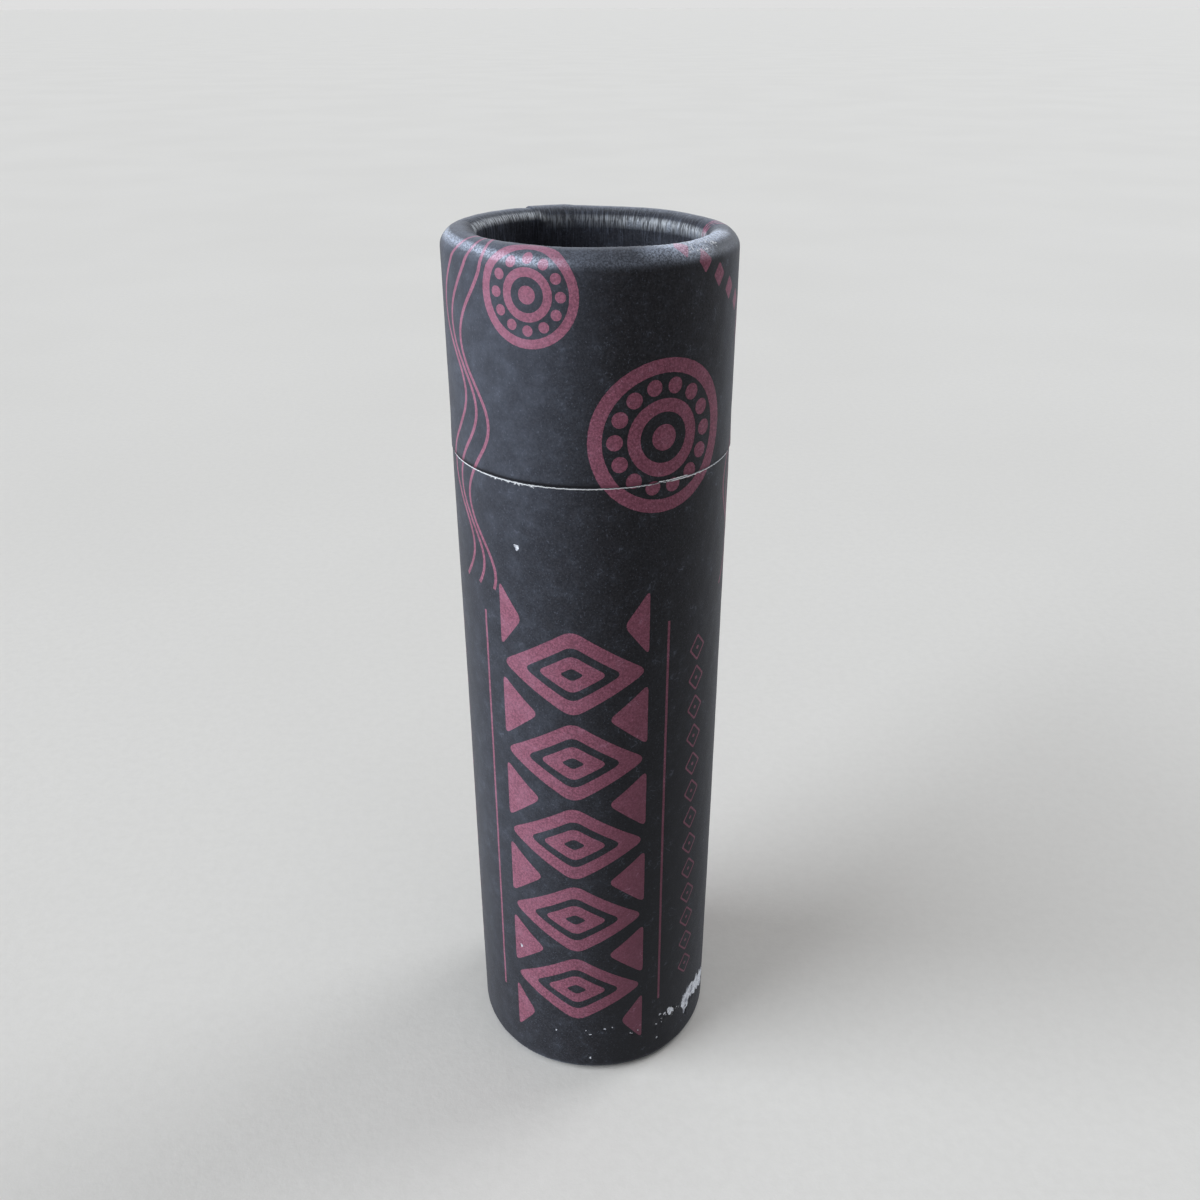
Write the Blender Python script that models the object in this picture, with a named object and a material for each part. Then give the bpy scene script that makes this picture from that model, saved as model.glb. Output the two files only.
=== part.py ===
"""Push-up lip balm stick in a paperboard tube, at its real size, in metres, with +Z up.

The tube stands on its rolled foot, and the origin is the centre of that foot on the floor.
Three groups come apart on a bench:
  body   the wound board tube with its printed paper, and the neck tube glued inside it
  stick  the push-up cup with the balm on it, which slides up inside the neck
  cap    the board tube with its printed paper and its end disc, which slips over the neck
"""

import math

import bmesh
import bpy

MM = 0.001

# Driving sizes of the whole tube
OUTER_RADIUS = 10.0 * MM
BODY_HEIGHT = 54.1 * MM
CAP_LENGTH = 14.5 * MM
SEAM_GAP = 0.15 * MM

# Papers and boards
WRAP_THICKNESS = 0.20 * MM
BOARD_WALL = 0.90 * MM
NECK_WALL = 0.60 * MM
LINER_THICKNESS = 0.12 * MM

# Rolled rims: the wall turns in on itself and runs back along the inside
FOOT_ROLL_DEPTH = 4.2 * MM
CAP_ROLL_DEPTH = 4.2 * MM
ROLL_LAND = 0.4 * MM

# Push-up cup
SLEEVE_WALL = 0.40 * MM
SLEEVE_HEIGHT = 5.0 * MM
PUSH_DISC_THICKNESS = 1.5 * MM
BARRIER_THICKNESS = 0.15 * MM

# Balm
FILL_GAP = 2.5 * MM
BALM_DISH = 0.35 * MM
BALM_EDGE_ROUND = 0.25 * MM

# Closed end of the cap
END_DISC_THICKNESS = 1.0 * MM
FACING_THICKNESS = 0.2 * MM
HEADROOM = 0.6 * MM

# Clearances between neighbours
GLUE_GAP = 0.05 * MM
NECK_FIT = 0.10 * MM
PUSH_FIT = 0.08 * MM
BALM_FIT = 0.06 * MM
SEAT_GAP = 0.05 * MM

# Small breaks on cut edges of board
CUT_EDGE_BREAK = 0.08 * MM

# How finely round shapes are drawn
SEGMENTS = 48
CORNER_STEPS = 4
DISH_STEPS = 4
SHARP_ANGLE_DEGREES = 30
WELD_SHARE = 1e-6

# Places that follow from the sizes
BOARD_INSET = WRAP_THICKNESS + GLUE_GAP
WALL = BOARD_INSET + BOARD_WALL
BORE_RADIUS = OUTER_RADIUS - WALL
MOUTH_RADIUS = OUTER_RADIUS - WALL - WALL
ROLL_CORNER = (OUTER_RADIUS - MOUTH_RADIUS - ROLL_LAND) / 2

CAP_FOOT = BODY_HEIGHT + SEAM_GAP
TOTAL_HEIGHT = CAP_FOOT + CAP_LENGTH
CAP_TUCK = TOTAL_HEIGHT - CAP_ROLL_DEPTH
FACING_TOP = CAP_TUCK - SEAT_GAP
END_DISC_TOP = FACING_TOP - FACING_THICKNESS - GLUE_GAP
END_DISC_FOOT = END_DISC_TOP - END_DISC_THICKNESS

NECK_FOOT = FOOT_ROLL_DEPTH + SEAT_GAP
NECK_TOP = END_DISC_FOOT - HEADROOM
NECK_RADIUS = BORE_RADIUS - NECK_FIT
LINER_RADIUS = NECK_RADIUS - NECK_WALL - GLUE_GAP
BARREL_RADIUS = LINER_RADIUS - LINER_THICKNESS

STICK_FOOT = NECK_FOOT
SLEEVE_RADIUS = BARREL_RADIUS - PUSH_FIT
CUP_RADIUS = SLEEVE_RADIUS - SLEEVE_WALL
PUSH_DISC_TOP = STICK_FOOT + PUSH_DISC_THICKNESS
BARRIER_FOOT = PUSH_DISC_TOP + GLUE_GAP
BARRIER_TOP = BARRIER_FOOT + BARRIER_THICKNESS
SLEEVE_TOP = STICK_FOOT + SLEEVE_HEIGHT
BALM_FOOT = BARRIER_TOP + GLUE_GAP
BALM_TOP = NECK_TOP - FILL_GAP
BALM_RADIUS = BARREL_RADIUS - BALM_FIT

# Colours are linear; roughness and metallic complete each finish
FINISHES = {
    "printed_paper": ((0.017, 0.018, 0.021), 0.55),
    "white_board": ((0.60, 0.58, 0.54), 0.85),
    "greaseproof_paper": ((0.70, 0.66, 0.56), 0.38),
    "balm_wax": ((0.78, 0.66, 0.38), 0.42),
}
METALLIC = 0.0


def clear_scene():
    for old in list(bpy.data.objects):
        bpy.data.objects.remove(old, do_unlink=True)


def make_material(name):
    colour, roughness = FINISHES[name]
    material = bpy.data.materials.new(name)
    material.use_nodes = True
    shader = material.node_tree.nodes["Principled BSDF"]
    shader.inputs["Base Color"].default_value = (*colour, 1.0)
    shader.inputs["Roughness"].default_value = roughness
    shader.inputs["Metallic"].default_value = METALLIC
    material.diffuse_color = (*colour, 1.0)
    return material


def make_group(name, height):
    """An empty on the tube's axis, which carries the pieces that move together."""
    group = bpy.data.objects.new(name, None)
    group.empty_display_size = OUTER_RADIUS
    group.location = (0, 0, height)
    bpy.context.scene.collection.objects.link(group)
    return group


def arc(centre, radius, start, end):
    """Points round a centre (r, z), from one angle to another, in degrees."""
    points = []
    for step in range(CORNER_STEPS + 1):
        angle = math.radians(start + (end - start) * step / CORNER_STEPS)
        point = (centre[0] + radius * math.cos(angle), centre[1] + radius * math.sin(angle))
        points.append(point)
    return points


def rolled_side(inset, end, rim, tuck):
    """One side of a rolled wall: from its far end, round the rim, to the tucked edge inside.

    inset is the depth under the printed surface. The rim is above the far end on the cap
    and below it on the foot.
    """
    upwards = 1 if rim > end else -1
    radius = ROLL_CORNER - inset
    corner_height = rim - upwards * ROLL_CORNER
    outer_corner = (OUTER_RADIUS - ROLL_CORNER, corner_height)
    inner_corner = (MOUTH_RADIUS + ROLL_CORNER, corner_height)
    side = [(OUTER_RADIUS - inset, end)]
    side += arc(outer_corner, radius, 0, upwards * 90)
    side += arc(inner_corner, radius, upwards * 90, upwards * 180)
    side.append((MOUTH_RADIUS + inset, tuck))
    return side


def turned(name, outline, finish, group):
    """A closed solid turned about the tube's axis from an outline of (r, z) points.

    An outline that starts and ends on the axis makes a disc or a rod, and one that stays
    clear of the axis makes a ring or a tube.
    """
    base = group.location.z
    mesh = bpy.data.meshes.new(name)
    shape = bmesh.new()
    corners = [shape.verts.new((radius, 0, height - base)) for radius, height in outline]
    edges = [shape.edges.new(pair) for pair in zip(corners, corners[1:])]
    if outline[0][0] > 0:
        edges.append(shape.edges.new((corners[-1], corners[0])))
    bmesh.ops.spin(
        shape,
        geom=corners + edges,
        cent=(0, 0, 0),
        axis=(0, 0, 1),
        angle=math.tau,
        steps=SEGMENTS,
        use_merge=True,
    )
    bmesh.ops.remove_doubles(shape, verts=shape.verts, dist=OUTER_RADIUS * WELD_SHARE)
    bmesh.ops.recalc_face_normals(shape, faces=shape.faces)
    shape.to_mesh(mesh)
    shape.free()
    mesh.shade_smooth()
    mesh.set_sharp_from_angle(angle=math.radians(SHARP_ANGLE_DEGREES))
    mesh.materials.append(finish)
    piece = bpy.data.objects.new(name, mesh)
    piece.parent = group
    bpy.context.scene.collection.objects.link(piece)


def disc_outline(radius, foot, top):
    return [(0, foot), (radius, foot), (radius, top), (0, top)]


def tube_outline(outer, inner, foot, top):
    return [(inner, foot), (outer, foot), (outer, top), (inner, top)]


def eased_tube_outline(outer, inner, foot, top):
    """A straight tube with both edges of its upper rim eased."""
    return [
        (inner, foot),
        (outer, foot),
        (outer, top - CUT_EDGE_BREAK),
        (outer - CUT_EDGE_BREAK, top),
        (inner + CUT_EDGE_BREAK, top),
        (inner, top - CUT_EDGE_BREAK),
    ]


def printed_wrap(name, end, rim, tuck, finish, group):
    """The printed paper: glued round the board, over its rolled rim and down inside it."""
    outside = rolled_side(0, end, rim, tuck)
    inside = rolled_side(WRAP_THICKNESS, end, rim, tuck)
    turned(name, outside + inside[::-1], finish, group)


def rolled_board(name, end, rim, tuck, finish, group):
    """The wound board tube. Its rolled rim is solid, because the wall folds flat on itself."""
    outside = rolled_side(BOARD_INSET, end, rim, tuck)
    inside = [(BORE_RADIUS, tuck), (BORE_RADIUS, end)]
    turned(name, outside + inside, finish, group)


def build_body(finishes):
    body = make_group("body_group", 0)
    board = finishes["white_board"]
    printed_wrap("body_wrap", BODY_HEIGHT, 0, FOOT_ROLL_DEPTH, finishes["printed_paper"], body)
    rolled_board("body_tube", BODY_HEIGHT, 0, FOOT_ROLL_DEPTH, board, body)
    neck = eased_tube_outline(NECK_RADIUS, NECK_RADIUS - NECK_WALL, NECK_FOOT, NECK_TOP)
    turned("neck_tube", neck, board, body)
    liner = tube_outline(LINER_RADIUS, BARREL_RADIUS, NECK_FOOT, NECK_TOP)
    turned("neck_liner", liner, finishes["greaseproof_paper"], body)


def balm_outline():
    """The poured balm: its foot set in the cup, its top a shallow dish with an eased edge."""
    outline = [
        (0, BALM_FOOT),
        (CUP_RADIUS - BALM_FIT, BALM_FOOT),
        (CUP_RADIUS - BALM_FIT, SLEEVE_TOP + SEAT_GAP),
        (BALM_RADIUS, SLEEVE_TOP + SEAT_GAP),
    ]
    edge = (BALM_RADIUS - BALM_EDGE_ROUND, BALM_TOP - BALM_EDGE_ROUND)
    outline += arc(edge, BALM_EDGE_ROUND, 0, 90)
    dish_radius = edge[0]
    for step in range(1, DISH_STEPS + 1):
        radius = dish_radius * (DISH_STEPS - step) / DISH_STEPS
        depth = BALM_DISH * (1 - (radius / dish_radius) ** 2)
        outline.append((radius, BALM_TOP - depth))
    return outline


def build_stick(finishes):
    stick = make_group("stick_group", STICK_FOOT)
    board = finishes["white_board"]
    disc = disc_outline(CUP_RADIUS - GLUE_GAP, STICK_FOOT, PUSH_DISC_TOP)
    turned("push_disc", disc, board, stick)
    sleeve = eased_tube_outline(SLEEVE_RADIUS, CUP_RADIUS, STICK_FOOT, SLEEVE_TOP)
    turned("push_sleeve", sleeve, board, stick)
    barrier = disc_outline(CUP_RADIUS - GLUE_GAP, BARRIER_FOOT, BARRIER_TOP)
    turned("barrier_disc", barrier, finishes["greaseproof_paper"], stick)
    turned("balm", balm_outline(), finishes["balm_wax"], stick)


def build_cap(finishes):
    cap = make_group("cap_group", CAP_FOOT)
    printed = finishes["printed_paper"]
    board = finishes["white_board"]
    printed_wrap("cap_wrap", CAP_FOOT, TOTAL_HEIGHT, CAP_TUCK, printed, cap)
    rolled_board("cap_tube", CAP_FOOT, TOTAL_HEIGHT, CAP_TUCK, board, cap)
    disc_radius = BORE_RADIUS - GLUE_GAP
    facing = disc_outline(disc_radius, FACING_TOP - FACING_THICKNESS, FACING_TOP)
    turned("cap_disc_facing", facing, printed, cap)
    end_disc = disc_outline(disc_radius, END_DISC_FOOT, END_DISC_TOP)
    turned("cap_end_disc", end_disc, board, cap)


def main():
    clear_scene()
    finishes = {name: make_material(name) for name in FINISHES}
    build_body(finishes)
    build_stick(finishes)
    build_cap(finishes)


main()
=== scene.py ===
"""Looks of a push-up lip balm stick: black printed paper over a tube of white board.

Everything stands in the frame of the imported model, in metres. Paper is drawn flat, as a printer
would draw it, and is then rolled round the tube. A place on the flat paper has two numbers:
  across    the way round the tube from its front, which faces -Y, growing towards +X
  up        the height on the tube's side, which runs on over the cap's rim and under the foot
A place on one sheet has distance instead of up: how far it is from the sheet's cut edge, where
the cap meets the body. An angle is a turn round the tube from its front, in radians.
"""

import math
from dataclasses import dataclass

import bmesh
import bpy
import numpy as np
from mathutils import Euler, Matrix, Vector, geometry


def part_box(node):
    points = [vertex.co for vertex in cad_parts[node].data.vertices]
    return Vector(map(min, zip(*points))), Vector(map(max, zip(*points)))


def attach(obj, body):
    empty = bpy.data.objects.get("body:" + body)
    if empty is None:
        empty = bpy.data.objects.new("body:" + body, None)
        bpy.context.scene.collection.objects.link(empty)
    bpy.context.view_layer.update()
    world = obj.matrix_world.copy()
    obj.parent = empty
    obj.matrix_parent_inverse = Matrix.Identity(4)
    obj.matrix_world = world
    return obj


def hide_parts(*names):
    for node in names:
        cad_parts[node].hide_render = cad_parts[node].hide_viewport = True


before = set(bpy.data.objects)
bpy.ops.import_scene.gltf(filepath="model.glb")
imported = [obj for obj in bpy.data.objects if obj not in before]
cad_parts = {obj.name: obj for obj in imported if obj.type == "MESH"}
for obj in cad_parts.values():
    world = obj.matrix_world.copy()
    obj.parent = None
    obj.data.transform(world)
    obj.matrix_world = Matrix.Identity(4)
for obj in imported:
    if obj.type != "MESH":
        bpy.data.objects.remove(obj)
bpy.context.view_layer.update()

MM = 0.001
TURN = math.tau


def mm(*lengths):
    return tuple(length * MM for length in lengths)


def extent(node):
    """The foot, top and radius of a round node."""
    low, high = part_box(node)
    return low.z, high.z, high.x


# Sizes of the tube, from the frame
_, BODY_TOP, OUTER_RADIUS = extent("body_wrap")
CAP_FOOT, TUBE_TOP, _ = extent("cap_wrap")
_, SLEEVE_TOP, SLEEVE_RADIUS = extent("push_sleeve")
BALM_FOOT, BALM_TOP, BALM_RADIUS = extent("balm")

# Walls and rolled rims, which the frame's boxes don't show
RIM_TURN = 0.95 * MM
RIM_LAND = 0.40 * MM
TUCK_DEPTH = 4.2 * MM
QUARTER = RIM_TURN * math.pi / 2
BOARD_WALL = 0.90 * MM
BOARD_SINK = 0.25 * MM
NECK_WALL = 0.60 * MM
LINER_WALL = 0.12 * MM
SLEEVE_WALL = 0.40 * MM
CUP_GAP = 0.06 * MM
BALM_DISH = 0.35 * MM
BALM_EDGE = 0.25 * MM
EASE = 0.05 * MM
PLY_GROOVE = 0.03 * MM
PLY_GROOVE_HALF_WIDTH = 0.018 * MM
DISC_GROOVE = 0.02 * MM
GLUE = 0.006 * MM

# Printed paper
PAPER = 0.10 * MM
LAP = 3.0 * MM
LAP_RAMP = 1.4 * MM
LAP_STEP = 0.055 * MM
EDGE_DROOP = 0.07 * MM
SHEET_LOW = -29.2 * MM
ROUND = TURN * OUTER_RADIUS
SHEET_HIGH = SHEET_LOW + ROUND + LAP

# How finely things are cut into triangles
OUTLINE_SPACING = 0.2 * MM
CORNER_STEPS = 5
SIDE_COLUMNS = 272
EDGE_COLUMNS = 800
EDGE_ROWS_MM = (0, 0.04, 0.08, 0.13, 0.22, 0.36)
SIDE_ROW = 1.0 * MM
ARC_ROWS = 9
TUCK_ROWS = 8
PROFILE_STEPS = 16
BOARD_ROWS = 24
NORMAL_STEP = 0.02 * MM
SPIN_COLUMNS = 192
SHARP_DEGREES = 32
EDGE_STEPS = 6
DISH_STEPS = 24
DISC_RINGS = 10

# What the triangulation is asked for, and within how many millimetres two points are one
WHOLE_HULL = 0
ONE_POINT = 1e-4

# Within how many metres two places, or two points of a skin, or the ends of an edge are one
SAME_PLACE = 1e-9
SAME_POINT = 1e-7
NO_LENGTH = 1e-8

# The camera of the photograph, fitted to the tube's outlines
IMAGE_SIZE = 1200
SENSOR = 36.0
FOCAL_PIXELS = 1141.3
CAMERA_PLACE = Vector((0.616, -78.936, 81.866)) * MM
CAMERA_PITCH = math.radians(27.473)
CAMERA_ROLL = -0.0020
CAMERA_CLIP = (0.005, 200)

PRINT = "ink"
CHIP = "chip"

# Families of waves: least and most turns round, shortest and longest along the tube, and how many
DENT_WAVES = ((1, 6), mm(18, 60), 10)
SWAY_WAVES = ((2, 8), mm(9, 30), 8)
COCKLE_WAVES = ((14, 50), mm(2, 9), 16)
FINE_PLEATS = ((110, 340), mm(3, 20), 14)
BROAD_PLEATS = ((30, 90), mm(14, 90), 8)
PLEAT_PATCHES = ((3, 11), mm(6, 20), 5)
FRAY_WAVES = ((20, 260), mm(50, 90), 24)
SCUFF_WAVES = ((2, 9), mm(60, 90), 6)
FOLD_WAVES = ((9, 60), mm(60, 90), 12)
BOARD_WAVES = ((2, 14), mm(6, 30), 8)
FUZZ_WAVES = ((30, 90), mm(0.3, 2), 10)
DRAG_WAVES = ((20, 90), mm(40, 200), 10)
RIPPLE_WAVES = ((1, 4), mm(2.5, 6), 6)
DISC_WAVES = ((1, 7), mm(2, 9), 9)

# How high the waves stand
DENT_HEIGHT = 0.014 * MM
COCKLE_HEIGHT = 0.003 * MM
FRAY_HEIGHT = 0.010 * MM
FOLD_RAGGED = 0.5 * MM
DRAG_DEPTH = -0.010 * MM
RIPPLE_HEIGHT = 0.022 * MM


def smooth(value, low, high):
    """0 at low and beyond, 1 at high and beyond, with an eased step between them."""
    share = np.clip((value - low) / (high - low), 0, 1)
    return share * share * (3 - 2 * share)


def window(value, low, high, ease):
    """1 from low to high and 0 outside them, with an eased step this wide at both ends."""
    return smooth(value, low - ease, low) * smooth(value, high + ease, high)


def waves(angle, along, family, seed):
    """A smooth random pattern of about unit size that meets itself round the tube."""
    turns, lengths, count = family
    random = np.random.default_rng(seed)
    total = np.zeros(np.broadcast(angle, along).shape)
    for _ in range(count):
        round_count = random.integers(turns[0], turns[1] + 1)
        length = random.uniform(*lengths) * random.choice([-1, 1])
        phase = random.uniform(0, TURN)
        total += np.cos(round_count * angle + TURN * along / length + phase)
    return total / math.sqrt(count / 2)


def ring(radius, angle, height):
    """Points at these radii, angles and heights."""
    return np.stack([radius * np.sin(angle), -radius * np.cos(angle), height], -1)


# Outlines on the flat paper


def rounded(corners, radius):
    """A polygon whose corners are rounded, each over radius along both of its sides."""
    points = []
    corners = [Vector(corner) for corner in corners]
    for place, corner in enumerate(corners):
        before = corners[place - 1] - corner
        after = corners[(place + 1) % len(corners)] - corner
        start = corner + before.normalized() * min(radius, before.length / 2)
        end = corner + after.normalized() * min(radius, after.length / 2)
        for step in range(CORNER_STEPS + 1):
            share = step / CORNER_STEPS
            points.append(start.lerp(corner, share).lerp(corner.lerp(end, share), share))
    return points


def disc(centre, radius, points=40):
    angles = [TURN * step / points for step in range(points)]
    return [Vector(centre) + radius * Vector((math.cos(a), math.sin(a))) for a in angles]


def lozenge(centre, half_width, half_height, rounding):
    across, up = centre
    corners = [
        (across + half_width, up),
        (across, up + half_height),
        (across - half_width, up),
        (across, up - half_height),
    ]
    return rounded(corners, rounding)


def stroke(points, width):
    """The outline of a line of even width along the points."""
    points = [Vector(point) for point in points]
    sides = ([], [])
    for place, point in enumerate(points):
        ahead = points[min(place + 1, len(points) - 1)]
        behind = points[max(place - 1, 0)]
        across = (ahead - behind).orthogonal().normalized() * width / 2
        sides[0].append(point + across)
        sides[1].append(point - across)
    return sides[0] + sides[1][::-1]


BLOB_POINTS = 36
BLOB_WAVES = ((2, 0.22), (3, 0.16), (5, 0.12), (8, 0.07), (13, 0.04))


def blob(centre, half_width, half_height, seed):
    """An irregular patch, such as a chip knocked out of an edge."""
    random = np.random.default_rng(seed)
    phases = random.uniform(0, TURN, len(BLOB_WAVES))
    outline = []
    for step in range(BLOB_POINTS):
        angle = TURN * step / BLOB_POINTS
        reach = 1
        for (count, swell), phase in zip(BLOB_WAVES, phases):
            reach += swell * math.cos(count * angle + phase)
        offset = Vector((half_width * math.cos(angle), half_height * math.sin(angle)))
        outline.append(Vector(centre) + offset * reach)
    return outline


# The printed ornament: bands of lozenges between thin rules, pearled roundels and wavy lines

# A lozenge is its half width, half height and rounding
NESTED_LOZENGES = (
    mm(5.6, 3.6, 0.9),
    mm(3.7, 2.35, 0.7),
    mm(2.6, 1.6, 0.6),
    mm(0.9, 0.55, 0.3),
)
BANDS_ACROSS = mm(-1.4, 27.8)
BAND_COUNT = 5
BAND_PITCH = 7.6 * MM
BAND_LOW = 9.6 * MM
NOTCH_HEIGHT = 2.6 * MM
INNER_NOTCH = 3.0 * MM
END_NOTCH = 1.9 * MM
NOTCH_ROUNDING = 0.6 * MM
RULE_OFFSET = 7.2 * MM
RULE_ENDS = mm(7.0, 43.5)
RULE_WIDTH = 0.20 * MM

CHAINS_ACROSS = mm(8.9, -14.4)
CHAIN_LOW = 9.0 * MM
CHAIN_COUNT = 13
CHAIN_PITCH = 2.6 * MM
CHAIN_LOZENGES = (mm(0.95, 1.15, 0.2), mm(0.76, 0.92, 0.15))
CHAIN_DOT = 0.15 * MM

# A roundel is its centre, its radius and how many pearls it has
ROUNDELS = (
    (mm(5.0, 57.2), 5.2 * MM, 14),
    (mm(-3.9, 66.4), 3.3 * MM, 12),
    (mm(25.5, 58.6), 5.2 * MM, 14),
)
RING_SHARES = (1.0, 0.82, 0.50, 0.33, 0.17)
PEARL_RING_SHARE = 0.66
PEARL_SHARE = 0.105

# A bunch of wavy lines is where it starts across, its foot, its top and its lean
WAVY_BUNCHES = (
    (-10.9 * MM, 45.5 * MM, 73.5 * MM, 0.0),
    (12.2 * MM, 44.0 * MM, 73.5 * MM, 0.14),
)
WAVY_LINES = 3
WAVY_SPACING = 1.15 * MM
WAVY_PHASE = 0.5
WAVY_SWING = 1.3 * MM
WAVY_LENGTH = 11 * MM
WAVY_WIDTH = 0.26 * MM

ROW_START = mm(6.6, 69.2)
ROW_STEP = mm(1.5, 1.1)
ROW_COUNT = 5
ROW_LOZENGE = mm(0.62, 0.8, 0.15)


def lozenge_band(across):
    outlines = []
    half_width = NESTED_LOZENGES[0][0]
    for place in range(BAND_COUNT):
        centre = (across, BAND_LOW + BAND_PITCH * place)
        outlines += [lozenge(centre, *sizes) for sizes in NESTED_LOZENGES]
    for place in range(BAND_COUNT + 1):
        up = BAND_LOW + BAND_PITCH * (place - 0.5)
        depth = INNER_NOTCH if 0 < place < BAND_COUNT else END_NOTCH
        for side in (-1, 1):
            edge = across + side * half_width
            tip = edge - side * depth
            corners = [(edge, up + NOTCH_HEIGHT), (tip, up), (edge, up - NOTCH_HEIGHT)]
            outlines.append(rounded(corners, NOTCH_ROUNDING))
    for side in (-1, 1):
        rule = [(across + side * RULE_OFFSET, up) for up in RULE_ENDS]
        outlines.append(stroke(rule, RULE_WIDTH))
    return outlines


def roundel(centre, radius, pearls):
    outlines = [disc(centre, share * radius) for share in RING_SHARES]
    for place in range(pearls):
        angle = TURN * place / pearls
        offset = PEARL_RING_SHARE * radius * Vector((math.cos(angle), math.sin(angle)))
        outlines.append(disc(Vector(centre) + offset, PEARL_SHARE * radius, points=16))
    return outlines


def wavy_lines(across, low, high, lean):
    outlines = []
    count = int((high - low) / OUTLINE_SPACING)
    for place in range(WAVY_LINES):
        left = across + WAVY_SPACING * place
        points = []
        for step in range(count + 1):
            rise = (high - low) * step / count
            sway = WAVY_SWING * math.sin(TURN * rise / WAVY_LENGTH + WAVY_PHASE * place)
            points.append((left + sway + lean * rise, low + rise))
        outlines.append(stroke(points, WAVY_WIDTH))
    return outlines


def fine_chain(across):
    outlines = []
    for place in range(CHAIN_COUNT):
        centre = (across, CHAIN_LOW + CHAIN_PITCH * place)
        outlines += [lozenge(centre, *sizes) for sizes in CHAIN_LOZENGES]
        outlines.append(disc(centre, CHAIN_DOT, points=12))
    return outlines


def ornament():
    outlines = []
    for across in BANDS_ACROSS:
        outlines += lozenge_band(across)
    for across in CHAINS_ACROSS:
        outlines += fine_chain(across)
    for centre, radius, pearls in ROUNDELS:
        outlines += roundel(centre, radius, pearls)
    for bunch in WAVY_BUNCHES:
        outlines += wavy_lines(*bunch)
    for place in range(ROW_COUNT):
        centre = (ROW_START[0] + ROW_STEP[0] * place, ROW_START[1] - ROW_STEP[1] * place)
        outlines.append(lozenge(centre, *ROW_LOZENGE))
    return outlines


# Chips, where the paper is knocked off its white core

# Placed chips, in millimetres: across, up, half width and half height
PLACED_CHIPS_MM = (
    (14.3, 3.40, 0.62, 0.46),
    (13.4, 3.60, 0.72, 0.80),
    (12.5, 3.75, 0.68, 0.95),
    (11.6, 4.20, 0.64, 1.12),
    (10.75, 4.30, 0.46, 0.78),
    (9.85, 4.45, 0.60, 1.05),
    (9.10, 4.20, 0.36, 0.72),
    (9.25, 3.10, 0.22, 0.30),
    (7.22, 4.60, 0.38, 0.40),
    (6.55, 4.72, 0.12, 0.14),
    (6.05, 4.94, 0.10, 0.12),
    (0.95, 5.02, 0.09, 0.10),
    (1.60, 5.12, 0.05, 0.05),
    (-0.30, 4.40, 0.10, 0.06),
    (-0.65, 4.85, 0.05, 0.05),
    (-3.25, 4.42, 0.07, 0.08),
    (-0.30, 1.62, 0.10, 0.10),
    (5.75, 2.35, 0.07, 0.11),
    (-5.30, 49.35, 0.22, 0.18),
    (-6.35, 12.70, 0.12, 0.13),
)

# Strewn chips, in millimetres: the middle and spread of their places, and their least and most
# half height. A slope is how many times wider than high one is.
STREWN_COUNT = 30
STREWN_SEED = 7
STREWN_ACROSS_MM = (10.5, 3.6)
STREWN_UP_MM = (4.3, 0.65)
STREWN_SIZE_MM = (0.03, 0.08)
STREWN_SLOPES = (0.8, 1.5)

CHIP_DEPTH = 0.05 * MM
CHIP_FULL_SIZE = 0.4 * MM
CHIP_RIM_SHARES = (1.15, 0.75)


def chip_list():
    """Each chip: its centre on the flat paper, its half width and half height, and a seed."""
    random = np.random.default_rng(STREWN_SEED)
    places = list(PLACED_CHIPS_MM)
    for _ in range(STREWN_COUNT):
        across = random.normal(*STREWN_ACROSS_MM)
        up = random.normal(*STREWN_UP_MM)
        size = random.uniform(*STREWN_SIZE_MM)
        slope = random.uniform(*STREWN_SLOPES)
        places.append((across, up, size * slope, size))
    return [(*mm(*place), seed) for seed, place in enumerate(places)]


CHIPS = chip_list()


def chip_depth(across, up):
    """How deep the paper is knocked in at a place."""
    depth = np.zeros(np.broadcast(across, up).shape)
    for centre, height, half_width, half_height, _ in CHIPS:
        reach = np.hypot((across - centre) / half_width, (up - height) / half_height)
        size = min(half_width / CHIP_FULL_SIZE, 1)
        depth = np.maximum(depth, CHIP_DEPTH * size * smooth(reach, *CHIP_RIM_SHARES))
    return depth


# Sheets of paper, rolled on the tube

# How far past the end of the straight side things start and end on a sheet
SWAY_STARTS = (-1.5 * MM, RIM_TURN)
TILT_STARTS = (-6 * MM, 0)
LIP_STARTS = mm(0.5, 1.9)
PLEATS_START = mm(1.5, 2.6)
PLEATS_FADE = mm(3.2, 5.0)

# How far from the cut edge these end
FLARE_LENGTH = 2.5 * MM
FRAY_LENGTH = 0.30 * MM
DROOP_LENGTH = 1.0 * MM


def rolled_profile(length):
    """The line that a wrap follows from its cut edge, over a rim this far off, and down inside.

    Gives the distance along the paper, the radius, the run along the tube and the two parts of
    the outward direction, as arrays.
    """
    side = length - RIM_TURN
    turn = np.linspace(0, QUARTER, PROFILE_STEPS)
    distance = np.concatenate([
        [0, side / 2],
        side + turn,
        side + QUARTER + RIM_LAND + turn,
        [side + 2 * QUARTER + RIM_LAND + TUCK_DEPTH - RIM_TURN],
    ])
    first = np.clip((distance - side) / RIM_TURN, 0, math.pi / 2)
    land = np.clip(distance - side - QUARTER, 0, RIM_LAND)
    second = np.clip((distance - side - QUARTER - RIM_LAND) / RIM_TURN, 0, math.pi / 2)
    inside = np.maximum(distance - side - 2 * QUARTER - RIM_LAND, 0)
    radius = OUTER_RADIUS - RIM_TURN * (1 - np.cos(first)) - land - RIM_TURN * np.sin(second)
    run = np.minimum(distance, side) + RIM_TURN * np.sin(first)
    run -= RIM_TURN * (1 - np.cos(second)) + inside
    return distance, radius, run, np.cos(first + second), np.sin(first + second)


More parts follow.
